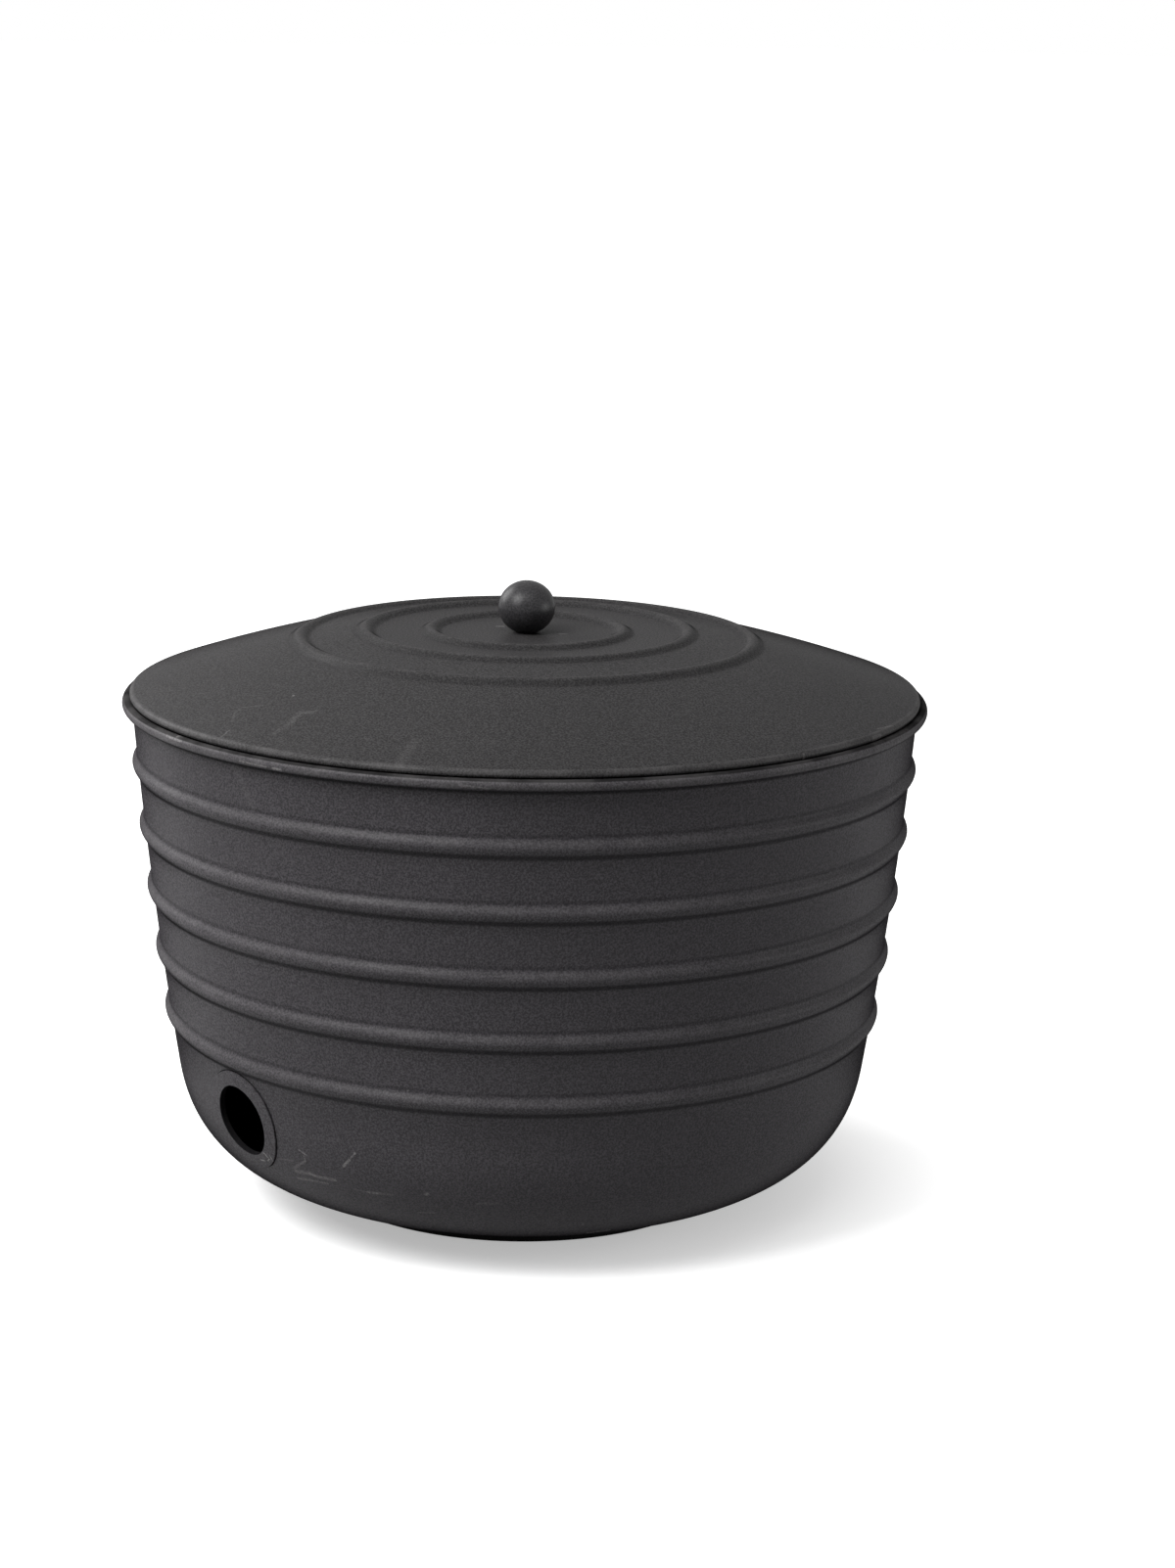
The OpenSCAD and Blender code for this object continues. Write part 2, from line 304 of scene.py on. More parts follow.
def round_end(a, b):
    """Points of the half circle that closes a sheet's edge between its two faces a and b."""
    middle = (Vector(a) + Vector(b)) / 2
    arm = Vector(a) - middle
    out = Vector((arm.y, -arm.x))
    turns = [pi * i / END_STEPS for i in range(1, END_STEPS)]
    return [tuple(middle + arm * cos(turn) - out * sin(turn)) for turn in turns]


def sheet_section(path, a, b):
    """Closed outline of a sheet that lies between a and b to the left of the path."""
    near, far = moved(path, a), moved(path, b)
    outline = near + round_end(near[-1], far[-1]) + far[::-1] + round_end(far[0], near[0])
    return outline + outline[:1]


def new_group(name, kind, inputs, outputs):
    """A node group with the sockets of its input and output nodes, and its inputs' identifiers."""
    tree = bpy.data.node_groups.new(name, kind + "NodeTree")
    ids = {}
    for label, sort in inputs.items():
        socket = tree.interface.new_socket(label, in_out="INPUT", socket_type="NodeSocket" + sort)
        ids[label] = socket.identifier
    for label, sort in outputs.items():
        tree.interface.new_socket(label, in_out="OUTPUT", socket_type="NodeSocket" + sort)
    return tree, tree.nodes.new("NodeGroupInput").outputs, tree.nodes.new("NodeGroupOutput").inputs, ids


def finished(tree, geometry, finish):
    """The end of a geometry tree: real faces, shaded smooth, in their finish."""
    smooth = add_node(tree, "GeometryNodeSetShadeSmooth", {0: geometry})
    real = add_node(tree, "GeometryNodeRealizeInstances", {0: smooth.outputs[0]})
    paint = add_node(tree, "GeometryNodeSetMaterial", {"Geometry": real.outputs[0], "Material": finish})
    return paint.outputs[0]


def spin_tree():
    """Geometry nodes that turn the modified mesh, a row of points, about the Z axis."""
    tree, given, out, ids = new_group(
        "spin_section", "Geometry", {"Section": "Geometry", "Steps": "Int", "Finish": "Material"},
        {"Turned": "Geometry"})
    count = add_node(tree, "GeometryNodeAttributeDomainSize", {0: given["Section"]}).outputs["Point Count"]
    sides = shade_maths(tree, "ADD", given["Steps"], 1)
    grid = add_node(tree, "GeometryNodeMeshGrid", {"Vertices X": count, "Vertices Y": sides})
    position = tree.nodes.new("GeometryNodeInputPosition").outputs[0]
    across = add_node(tree, "ShaderNodeSeparateXYZ", {0: position}).outputs
    last = shade_maths(tree, "SUBTRACT", count, 1)
    along = shade_maths(tree, "ADD", across["X"], 0.5)
    row = shade_maths(tree, "ROUND", shade_maths(tree, "MULTIPLY", along, last))
    turn = shade_maths(tree, "MULTIPLY", shade_maths(tree, "ADD", across["Y"], 0.5), 2 * pi)
    pick = add_node(tree, "GeometryNodeSampleIndex",
                    {"Geometry": given["Section"], "Value": position, "Index": row},
                    data_type="FLOAT_VECTOR")
    rotate = add_node(tree, "ShaderNodeVectorRotate", {"Vector": pick.outputs["Value"], "Angle": turn},
                      rotation_type="Z_AXIS")
    put = add_node(tree, "GeometryNodeSetPosition",
                   {"Geometry": grid.outputs["Mesh"], "Position": rotate.outputs[0]})
    weld = add_node(tree, "GeometryNodeMergeByDistance", {"Geometry": put.outputs[0], "Distance": SEAM_GAP})
    tree.links.new(finished(tree, weld.outputs[0], given["Finish"]), out[0])
    return tree, ids


turning = spin_tree()


def plain_mesh(source, name):
    """A new object with the evaluated mesh of source, which is removed."""
    evaluated = source.evaluated_get(bpy.context.evaluated_depsgraph_get())
    mesh = bpy.data.meshes.new_from_object(evaluated)
    source.modifiers.clear()
    bpy.data.objects.remove(source)
    mesh.name = name
    return new_object(name, mesh)


def grown(name, blank, group, **values):
    """The plain mesh that a geometry group, with its inputs' identifiers, makes of a blank mesh."""
    source = new_object(name + "_blank", blank)
    build = source.modifiers.new("build", "NODES")
    build.node_group, ids = group
    for label, value in values.items():
        build[ids[label]] = value
    return plain_mesh(source, name)


def outward(piece):
    """Faces of a closed piece point outwards, and its sharp edges stay sharp."""
    work = bmesh.new()
    work.from_mesh(piece.data)
    bmesh.ops.recalc_face_normals(work, faces=work.faces)
    work.to_mesh(piece.data)
    work.free()
    piece.data.shade_smooth()
    piece.data.set_sharp_from_angle(angle=SHARP_ANGLE)
    return piece


def spun(name, section, material, steps=SPIN_STEPS):
    """A closed solid, turned from a section of (radius, height) points in millimetres."""
    row = bpy.data.meshes.new(name + "_section")
    row.from_pydata([(r * MM, 0, z * MM) for r, z in section], [], [])
    return outward(grown(name, row, turning, Steps=steps, Finish=material))


def cut(piece, *cutters):
    """The piece with the cutters taken out of it. The cutters are used up."""
    for cutter in cutters:
        bite = piece.modifiers.new("cut", "BOOLEAN")
        bite.object = cutter
        bite.operation = "DIFFERENCE"
        bite.solver = "EXACT"
    name = piece.name
    piece.name = name + "_blank"
    result = plain_mesh(piece, name)
    for cutter in cutters:
        bpy.data.objects.remove(cutter)
    return outward(result)


def cutter_of(work, name):
    """An object with the faces of the work, which is used up. It only serves as a cutter."""
    mesh = bpy.data.meshes.new(name)
    work.to_mesh(mesh)
    work.free()
    return new_object(name, mesh)


def rod(radius, bottom, top, place):
    """A plain cylinder along Z, in millimetres, put in its place."""
    work = bmesh.new()
    bmesh.ops.create_cone(work, cap_ends=True, segments=HOLE_STEPS, radius1=radius * MM, radius2=radius * MM,
                          depth=(top - bottom) * MM)
    bmesh.ops.translate(work, verts=work.verts, vec=(0, 0, (top + bottom) / 2 * MM))
    bmesh.ops.transform(work, matrix=place, verts=work.verts)
    return cutter_of(work, "rod")


def shade_noise(tree, vector, scale, detail, roughness):
    given = {"Vector": vector, "Scale": scale, "Detail": detail, "Roughness": roughness}
    return add_node(tree, "ShaderNodeTexNoise", given).outputs[0]


# The powder coat. A noise lies mostly between the two values of a span.
NOISE_SPAN = (0.3, 0.7)
PATCH_SPAN = (0.35, 0.65)
GRAIN_SPAN = (0.36, 0.66)
BREAK_SPAN = (0.36, 0.6)
GRAIN_SCALE = 1000
PEEL_SCALE = 420
CLOUD_SCALE = 9
PATCH_SCALE = 0.05
BREAK_SCALE = 0.9
CLOUD_TONES = (0.94, 1.06)
CLOUD_DULLNESS = 0.03
GRAIN_DULLNESS = 0.04
GRAIN_HEIGHT = 0.6
SHORTEST_MARK = 0.0001
MARK_CORE = 0.25
COAT_BUMP = 0.5
COAT_BUMP_H = 0.00025
COAT = (0.0266, 0.0248, 0.0272, 1)
COAT_PALE = (0.0757, 0.0706, 0.0774, 1)
COAT_DULLNESS = 0.45
COAT_GLOSS = 0.24
COAT_FADES = (0.6, 0.97)
# Pale of rubbed paint, for the scuff marks and for the painted highlights.
RUBBED_AND_HIGHLIGHT = (0.26, 0.25, 0.25, 1)
BARE_STEEL = (0.62, 0.6, 0.58, 1)
# Near-black of the painted shade.
PAINTED_SHADE_TONE = (0.006, 0.0059, 0.0062, 1)


def coat_grain_group():
    """Fine grain, orange peel and faint clouds of a baked powder coat."""
    tree, given, out, _ = new_group(
        "coat_grain", "Shader", {"Coat": "Color", "Pale grain": "Color", "Dullness": "Float"},
        {"Color": "Color", "Roughness": "Float", "Height": "Float"})
    place = object_place(tree)
    grain = shade_noise(tree, place, GRAIN_SCALE, detail=2, roughness=0.7)
    peel = shade_noise(tree, place, PEEL_SCALE, detail=1, roughness=0.4)
    clouds = shade_noise(tree, place, CLOUD_SCALE, detail=3, roughness=0.55)
    tone = shade_mix(tree, shade_range(tree, grain, *GRAIN_SPAN), given["Coat"], given["Pale grain"])
    cloud_tone = shade_range(tree, clouds, *NOISE_SPAN, *CLOUD_TONES)
    cloud_dullness = shade_range(tree, clouds, *NOISE_SPAN, -CLOUD_DULLNESS, CLOUD_DULLNESS)
    grain_dullness = shade_range(tree, grain, *NOISE_SPAN, -GRAIN_DULLNESS, GRAIN_DULLNESS)
    dullness = shade_maths(tree, "ADD", given["Dullness"], cloud_dullness, grain_dullness)
    height = shade_maths(tree, "ADD", shade_maths(tree, "MULTIPLY", grain, GRAIN_HEIGHT), peel)
    tree.links.new(vector_maths(tree, "SCALE", tone, cloud_tone), out["Color"])
    tree.links.new(dullness, out["Roughness"])
    tree.links.new(height, out["Height"])
    return tree


def scratch_group():
    """Mask of one rubbed mark along a straight line, soft at its sides and ends."""
    tree, given, out, _ = new_group(
        "scratch", "Shader",
        {"Place": "Vector", "From": "Vector", "To": "Vector", "Half width": "Float", "Strength": "Float"},
        {"Mask": "Float"})
    line = vector_maths(tree, "SUBTRACT", given["To"], given["From"])
    reach = vector_maths(tree, "SUBTRACT", given["Place"], given["From"])
    square = shade_maths(tree, "MAXIMUM", vector_maths(tree, "DOT_PRODUCT", line, line, "Value"),
                         SHORTEST_MARK)
    along = vector_maths(tree, "DOT_PRODUCT", reach, line, "Value")
    share = shade_maths(tree, "DIVIDE", along, square, clamp=True)
    miss = vector_maths(tree, "DISTANCE", reach, vector_maths(tree, "SCALE", line, share), "Value")
    core = shade_maths(tree, "MULTIPLY", given["Half width"], MARK_CORE)
    edge = shade_range(tree, miss, given["Half width"], core)
    tree.links.new(shade_maths(tree, "MULTIPLY", edge, given["Strength"]), out["Mask"])
    return tree


def patchy_highlight_group():
    """Painted highlight within a mask, stronger in some patches than in others."""
    tree, given, out, _ = new_group(
        "patchy_highlight", "Shader", {"Place": "Vector", "Where": "Float", "Least": "Float", "Most": "Float"},
        {"Highlight": "Float"})
    patches = shade_noise(tree, given["Place"], PATCH_SCALE, detail=4, roughness=0.6)
    amount = shade_range(tree, patches, *PATCH_SPAN, given["Least"], given["Most"])
    tree.links.new(shade_maths(tree, "MULTIPLY", given["Where"], amount), out["Highlight"])
    return tree


coat_grain = coat_grain_group()
scratch = scratch_group()
patchy_highlight = patchy_highlight_group()


def effect(tree, group, **values):
    """Places a group in a material's tree, with an output or a plain value for each of its inputs."""
    given = {name.replace("_", " "): value for name, value in values.items()}
    return add_node(tree, "ShaderNodeGroup", given, node_tree=group).outputs


def parts_of_place(tree):
    return add_node(tree, "ShaderNodeSeparateXYZ", {0: object_place(tree)}).outputs


def height_up(tree):
    """Height above the ground in millimetres."""
    return shade_maths(tree, "MULTIPLY", parts_of_place(tree)["Z"], 1 / MM)


def round_the_pot(tree):
    """Surface coordinates in millimetres: along the wall from the eyelet, to the right, and up."""
    place = parts_of_place(tree)
    turn = shade_maths(tree, "ARCTAN2", place["X"], shade_maths(tree, "MULTIPLY", place["Y"], -1.0))
    along = shade_maths(tree, "MULTIPLY", turn, WALL_LOW_R)
    return add_node(tree, "ShaderNodeCombineXYZ", {"X": along, "Y": height_up(tree)}).outputs[0]


def over_the_lid(tree):
    """Surface coordinates in millimetres, seen from above."""
    return vector_maths(tree, "MULTIPLY", object_place(tree), (1 / MM, 1 / MM, 0))


def marks_mask(tree, place, marks):
    """Mask of all the marks, broken up by the grain. A mark is (from, to, half width, strength)."""
    masks = [effect(tree, scratch, Place=place, From=(*start, 0), To=(*end, 0), Half_width=half_width,
                    Strength=strength)["Mask"] for start, end, half_width, strength in marks]
    grit = shade_noise(tree, place, BREAK_SCALE, detail=3, roughness=0.7)
    broken = shade_range(tree, grit, *BREAK_SPAN, to_low=0.1)
    return shade_maths(tree, "MULTIPLY", shade_maths(tree, "MAXIMUM", *masks), broken)


def bumped(tree, height, strength, distance):
    given = {"Strength": strength, "Distance": distance, "Height": height}
    return add_node(tree, "ShaderNodeBump", given).outputs[0]


def powder_coat(name, coat=COAT, pale=COAT_PALE, dullness=COAT_DULLNESS, gloss=COAT_GLOSS,
                fades=COAT_FADES, painted_shade_of=None, painted_highlight_of=None, place_of=None, marks=(), bare=()):
    """Matte charcoal powder coat with painted shade, painted highlights, rubbed marks and marks worn to bare
    steel.
    """
    material = bpy.data.materials.new(name)
    material.use_nodes = True
    tree = material.node_tree
    shader = tree.nodes["Principled BSDF"].inputs
    grain = effect(tree, coat_grain, Coat=coat, Pale_grain=pale, Dullness=dullness)
    colour = grain["Color"]
    facing = add_node(tree, "ShaderNodeLayerWeight", {"Blend": 0.5}).outputs["Facing"]
    sheen = shade_range(tree, facing, *fades, gloss, 0.0)
    # Painted shade: darkens the coat towards a near-black and takes its gloss away.
    if painted_shade_of:
        painted_shade = painted_shade_of(tree)
        colour = shade_mix(tree, painted_shade, colour, PAINTED_SHADE_TONE)
        sheen = shade_maths(tree, "MULTIPLY", sheen, shade_maths(tree, "SUBTRACT", 1.0, painted_shade))
    # Painted highlight: pales the coat in patches.
    if painted_highlight_of:
        colour = shade_mix(tree, painted_highlight_of(tree), colour, RUBBED_AND_HIGHLIGHT)
    if marks:
        colour = shade_mix(tree, marks_mask(tree, place_of(tree), marks), colour, RUBBED_AND_HIGHLIGHT)
    if bare:
        worn = marks_mask(tree, place_of(tree), bare)
        colour = shade_mix(tree, worn, colour, BARE_STEEL)
        tree.links.new(worn, shader["Metallic"])
    tree.links.new(colour, shader["Base Color"])
    tree.links.new(grain["Roughness"], shader["Roughness"])
    tree.links.new(bumped(tree, grain["Height"], COAT_BUMP, COAT_BUMP_H), shader["Normal"])
    tree.links.new(sheen, shader["Coat Weight"])
    shader["Specular IOR Level"].default_value = 0
    shader["Coat Roughness"].default_value = dullness
    return material


# The hose hole lies square to the base curve, so it looks a little downwards.
HOLE_Z = 67.5
HOLE_TILT = radians(15)
BARREL_R = 20.05
BARREL_PLAY = 0.1
EYELET_R = 27.25
hole_axis = Vector((0, -cos(HOLE_TILT), -sin(HOLE_TILT)))


def outer_r(z):
    """Radius of the pot's outside at a height on the base curve or the wall."""
    if z >= wall_low_z:
        return wall_r(z) + sum(bead(z - zb, BEAD_W, BEAD_H, BEAD_FULLNESS) for zb in bead_zs)
    drop = min((wall_low_z - z) / BASE_H, 1)
    return base_point(acos(drop ** (BASE_SQUARENESS / 2)))[0]


hole_at = Vector((0, -outer_r(HOLE_Z), HOLE_Z))
hole_place = Matrix.Translation(hole_at * MM) @ hole_axis.to_track_quat("Z", "X").to_matrix().to_4x4()

# Scuffs low on the wall right of the eyelet, on the rim and under it, as they are on the photo.
POT_MARKS = [
    ((43, 62), (47.5, 60), 0.7, 0.8), ((45.5, 59), (45.7, 56), 0.6, 0.6),
    ((45.7, 56), (40, 52.5), 0.9, 0.5), ((40, 52.5), (36, 49.5), 1.2, 0.45),
    ((36, 47.7), (47, 49), 1.8, 0.5), ((46, 49), (50, 48), 1.2, 0.9), ((50, 48), (63, 48.6), 1.4, 0.6),
    ((35, 43), (46, 44.4), 1.2, 0.55), ((46, 44.4), (57, 45), 0.9, 0.45), ((26, 52.6), (36, 54), 0.8, 0.25),
    ((70.5, 58.4), (74.8, 63), 1.1, 0.8), ((74.8, 63), (78, 66.8), 0.6, 0.6),
    ((78.4, 67.2), (78.6, 67.4), 1.0, 0.9), ((73.5, 45), (82, 44.8), 0.7, 0.3),
    ((82, 44.8), (90, 45.2), 1.1, 0.65), ((90, 45.2), (97, 45.7), 0.9, 0.35),
    ((115.5, 48.6), (116.6, 49), 1.3, 0.6), ((108.5, 35.4), (118, 36.3), 0.7, 0.35),
    ((142.4, 45), (154, 46.1), 0.9, 0.35), ((208, 19.5), (221, 21), 1.4, 0.8),
    ((201, 29.4), (201.4, 29.4), 1.2, 0.4), ((25, 261.6), (34, 244), 3.2, 0.08),
    ((109.8, 106.3), (110, 106.3), 0.8, 0.4), ((-21.6, 269.6), (-8.5, 269.4), 0.8, 0.5),
    ((-13.6, 270.9), (-13.2, 270.9), 0.9, 0.8), ((33, 267.6), (48, 267.2), 0.7, 0.5),
    ((52, 266.9), (55.5, 266.8), 1.2, 0.9), ((138, 268.2), (150.5, 266.8), 0.8, 0.35)]

# Bands of painted shade and painted highlight: middle, half width, soft edge and strength. The beads' are
# measured from a crest, the rim's from the ground and the eyelet's from the axis of its hole.
UNDER_BEAD_SHADE = (-4.9, 0.6, 1.6, 0.5)
ON_BEAD_SHADE = (5.9, 0.4, 1.1, 0.25)
UNDER_RIM_SHADE = (RIM_TOP - 6.6, 0.6, 1.6, 0.65)
EYELET_EDGE_SHADE = (EYELET_R + 0.1, 0.25, 0.3, 1)
CREST_HIGHLIGHT = (1.9, 1, 2.2, 1)
UNDER_LID = (RIM_TOP - 1.2, RIM_TOP - 0.7)
UNDER_LID_SHADE = 0.95
ROLL_HIGHLIGHT = (RIM_TOP - 5.2, RIM_TOP - 4)
HOLE_SIDE = (-0.03, -0.02)


def band_mask(tree, value, middle, half_width, soft, strength=1):
    """Of full strength within half_width of the middle, and 0 past its soft edge."""
    miss = shade_maths(tree, "ABSOLUTE", shade_maths(tree, "SUBTRACT", value, middle))
    return shade_range(tree, miss, half_width + soft, half_width, 0.0, strength)


def from_hole(tree):
    """Distance from the axis of the hose hole in millimetres, and a mask of the wall on its side."""
    reach = vector_maths(tree, "SUBTRACT", object_place(tree), tuple(hole_at * MM))
    along = vector_maths(tree, "DOT_PRODUCT", reach, tuple(hole_axis), "Value")
    across = vector_maths(tree, "SUBTRACT", reach, vector_maths(tree, "SCALE", tuple(hole_axis), along))
    away = shade_maths(tree, "MULTIPLY", vector_maths(tree, "LENGTH", across, result="Value"), 1 / MM)
    return away, shade_range(tree, along, *HOLE_SIDE)


def from_nearest(tree, value, first, pitch):
    """How far the value lies past the nearest of the places that start at first."""
    past = shade_maths(tree, "SUBTRACT", value, first - pitch / 2)
    return shade_maths(tree, "SUBTRACT", shade_maths(tree, "FLOORED_MODULO", past, pitch), pitch / 2)


def above_crest(tree):
    """Height in millimetres above the crest of the nearest bead, and a mask of the beaded wall."""
    height = height_up(tree)
    middle, reach = (bead_zs[0] + bead_zs[-1]) / 2, (bead_zs[-1] - bead_zs[0]) / 2 + BEAD_W
    return from_nearest(tree, height, bead_zs[0], BEAD_PITCH), band_mask(tree, height, middle, reach, 1)


def pot_painted_shade(tree):
    """Painted shade: under each bead and at its upper foot, under the rim, on top of the rim under the lid,
    round the eyelet.
    """
    height = height_up(tree)
    above, beaded = above_crest(tree)
    away, near_side = from_hole(tree)
    at_bead = shade_maths(tree, "MAXIMUM", band_mask(tree, above, *UNDER_BEAD_SHADE),
                          band_mask(tree, above, *ON_BEAD_SHADE))
    at_eyelet = shade_maths(tree, "MULTIPLY", band_mask(tree, away, *EYELET_EDGE_SHADE), near_side)
    under_lid = shade_range(tree, height, *UNDER_LID, 0.0, UNDER_LID_SHADE)
    return shade_maths(tree, "MAXIMUM", shade_maths(tree, "MULTIPLY", at_bead, beaded), at_eyelet,
                       band_mask(tree, height, *UNDER_RIM_SHADE), under_lid)


def pot_painted_highlight(tree):
    """Painted highlight, in patches, on the rolled rim and on the crests of the beads."""
    place = round_the_pot(tree)
    above, beaded = above_crest(tree)
    roll = shade_range(tree, height_up(tree), *ROLL_HIGHLIGHT)
    crest = shade_maths(tree, "MULTIPLY", band_mask(tree, above, *CREST_HIGHLIGHT), beaded)
    return shade_maths(tree, "MAXIMUM",
                       effect(tree, patchy_highlight, Place=place, Where=roll, Least=0.04, Most=0.16)["Highlight"],
                       effect(tree, patchy_highlight, Place=place, Where=crest, Least=0.03, Most=0.09)["Highlight"])


pot_coat = powder_coat("pot_powder_coat", painted_shade_of=pot_painted_shade, painted_highlight_of=pot_painted_highlight, place_of=round_the_pot,
                       marks=POT_MARKS)

pot_path = [(r, FLOOR_Z) for r in (DRAIN_MID_R + SHEET / 2, *FLOOR_ROWS)]
pot_path += base_curve(BASE_STEPS) + beaded_wall(BEAD_STEPS, GAP_STEPS)
pot_path += arc(roll_at, RIM_ROLL_R - SHEET, 180 - degrees(atan(wall_lean / 2)), RIM_ROLL_END, ROLL_STEPS)
pot = spun("pot", sheet_section(pot_path, 0, SHEET), pot_coat)

cutters = [rod(BARREL_R + BARREL_PLAY, -HOLE_CUT, HOLE_CUT, hole_place)]
for i in range(DRAINS):
    turn = radians(DRAIN_TURN + 360 * i / DRAINS)
    spot = Matrix.Translation((DRAIN_CIRCLE_R * MM * cos(turn), DRAIN_CIRCLE_R * MM * sin(turn), 0))
    cutters.append(rod(DRAIN_R, FLOOR_Z - DRAIN_CUT, FLOOR_Z + DRAIN_CUT, spot))
pot = cut(pot, *cutters)
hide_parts("pot_shell")
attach(pot, "pot")

# ---- Foot ring ----
# A strip of steel rolled to a ring, its ends butt welded, set under the rounded base and held by
# short fillet welds along its inside. Its lower edge carries the pot.
FOOT_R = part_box("foot_ring")[1].x / MM
FOOT_T = 1.5
FOOT_EDGE = 0.4
FOOT_WELDS = 6
FOOT_WELD_LENGTH = 16
FOOT_WELD_R = 1.3
# The foot's coat is near-black with little gloss: painted shade for the shadow under the rounded base.
FOOT_SHADED_COAT = (0.007, 0.0068, 0.007, 1)
FOOT_SHADED_COAT_PALE = (0.015, 0.0146, 0.015, 1)
FOOT_GLOSS = 0.1
WELD_DROP = 1
WELD_SMOOTHNESS = 4
RIPPLE_SCALE = 250
RIPPLE_H = 0.00025
EDGE_STEPS = 6
TRACE_STEPS = 64

foot_shaded_coat = powder_coat("foot_shaded_powder_coat", coat=FOOT_SHADED_COAT, pale=FOOT_SHADED_COAT_PALE, gloss=FOOT_GLOSS)
pot_floor = [(0, FLOOR_Z)] + base_curve(TRACE_STEPS)


def height_on(path, r):
    """Height of a path at radius r, where the path runs outwards."""
    for (r0, z0), (r1, z1) in zip(path, path[1:]):
        if r0 <= r <= r1:
            return z0 + (z1 - z0) * (r - r0) / (r1 - r0)
    return path[-1][1]


def strip_section(outer, thick, edge, low, above):
    """Closed section of a strip rolled to a ring: rounded below, and trimmed above to a path."""
    rows = (arc((outer - edge, low + edge), edge, 0, -90, EDGE_STEPS)
            + arc((outer - thick + edge, low + edge), edge, -90, -180, EDGE_STEPS)
            + [(r, height_on(above, r)) for r in (outer - thick, outer)])
    return rows + rows[:1]


foot = spun("foot", strip_section(FOOT_R, FOOT_T, FOOT_EDGE, 0, pot_floor), foot_shaded_coat)


def weld_tree():
    """Geometry nodes: short weld beads, evenly spaced round a circle, rippled as they were laid."""
    tree, given, out, ids = new_group(
        "stitch_welds", "Geometry",
        {"Blank": "Geometry", "Count": "Int", "Circle": "Float", "Length": "Float", "Thickness": "Float",
         "Height": "Float", "Finish": "Material"}, {"Welds": "Geometry"})
    position = tree.nodes.new("GeometryNodeInputPosition").outputs[0]
    normal = tree.nodes.new("GeometryNodeInputNormal").outputs[0]
    ball = add_node(tree, "GeometryNodeMeshIcoSphere", {"Subdivisions": WELD_SMOOTHNESS, "Radius": 1})
    size = add_node(tree, "ShaderNodeCombineXYZ",
                    {"X": given["Thickness"], "Y": shade_maths(tree, "MULTIPLY", given["Length"], 0.5),
                     "Z": given["Thickness"]})
    shape = add_node(tree, "GeometryNodeTransform",
                     {"Geometry": ball.outputs["Mesh"], "Scale": size.outputs[0]})
    ripple = add_node(tree, "ShaderNodeTexWave", {"Vector": position, "Scale": RIPPLE_SCALE},
                      bands_direction="Y")
    push = vector_maths(tree, "SCALE", normal, shade_maths(tree, "MULTIPLY", ripple.outputs[1], RIPPLE_H))
    rippled = add_node(tree, "GeometryNodeSetPosition", {"Geometry": shape.outputs[0], "Offset": push})
    ring = add_node(tree, "GeometryNodeMeshCircle", {"Vertices": given["Count"], "Radius": given["Circle"]})
    up = add_node(tree, "ShaderNodeCombineXYZ", {"Z": given["Height"]})
    raised = add_node(tree, "GeometryNodeTransform",
                      {"Geometry": ring.outputs[0], "Translation": up.outputs[0]})
    aim = add_node(tree, "FunctionNodeAlignRotationToVector",
                   {"Vector": vector_maths(tree, "MULTIPLY", position, (1, 1, 0))}, axis="X", pivot_axis="Z")
    lay = add_node(tree, "GeometryNodeInstanceOnPoints",
                   {"Points": raised.outputs[0], "Instance": rippled.outputs[0], "Rotation": aim.outputs[0]})
    tree.links.new(finished(tree, lay.outputs[0], given["Finish"]), out[0])
    return tree, ids


welding = weld_tree()


def stitch_welds(name, material, **sizes):
    """Welds, with their sizes in millimetres."""
    count = sizes.pop("Count")
    metres = {label: size * MM for label, size in sizes.items()}
    return grown(name, bpy.data.meshes.new(name + "_blank"), welding, Count=count, Finish=material, **metres)


foot_welds = stitch_welds(
    "foot_welds", foot_shaded_coat, Count=FOOT_WELDS, Circle=FOOT_R - FOOT_T, Length=FOOT_WELD_LENGTH,
    Thickness=FOOT_WELD_R, Height=height_on(pot_floor, FOOT_R - FOOT_T) - WELD_DROP)
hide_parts("foot_ring")
for piece in (foot, foot_welds):
    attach(piece, "pot")

# ---- Hose eyelet and its backing washer ----
# A one-piece eyelet of 0.8 mm steel: the flange is bent to the wall, the barrel goes through it and
# its lip is set over a washer inside. Coated with the pot; the hose has rubbed its edges bare.
EYELET_T = 0.8
HOLE_R = BARREL_R - EYELET_T
FLANGE_EDGE = 0.2
FLANGE_STEPS = 8
FLANGE_EDGE_STEPS = 5
MOUTH_ROUND = 0.35
MOUTH_STEPS = 6
BARREL_STEPS = 4
CORNER_FIT = 0.05
BACKING_T = 1
BACKING_R = HOLE_R + 7
BACKING_EDGE = 0.3
LIP_R = HOLE_R + 3.2
LIP_IN = SHEET + BACKING_T + EYELET_T
ROW_GAP = 3
ROUND_STEPS = 120
WALL_SEARCH = 20
HALVINGS = 40
SLOPE_STEP = 0.05
# Painted shade: the inside of the barrel is blackened up to the mouth's rounding.
BORE_SHADE_SPAN = (HOLE_R + 0.3, HOLE_R + 0.05)
BORE_SHADE = 0.9
HIDDEN_COAT = (0.016, 0.0155, 0.016, 1)
HIDDEN_COAT_PALE = (0.034, 0.033, 0.034, 1)

# The coupling has knocked the lower right of the flange bare.
EYELET_WEAR = [
    ((26.5, 57), (23.4, 50.5), 0.5, 0.5), ((23.4, 50.5), (18.5, 46), 0.5, 0.6),
    ((18.5, 46), (12.5, 42.6), 0.5, 0.5), ((14.5, 53.5), (17.5, 51), 0.6, 0.35),
    ((9, 47.5), (13, 48), 0.6, 0.3), ((16, 49), (18, 50.5), 0.5, 0.3), ((19.5, 53), (20.5, 50), 0.5, 0.3)]

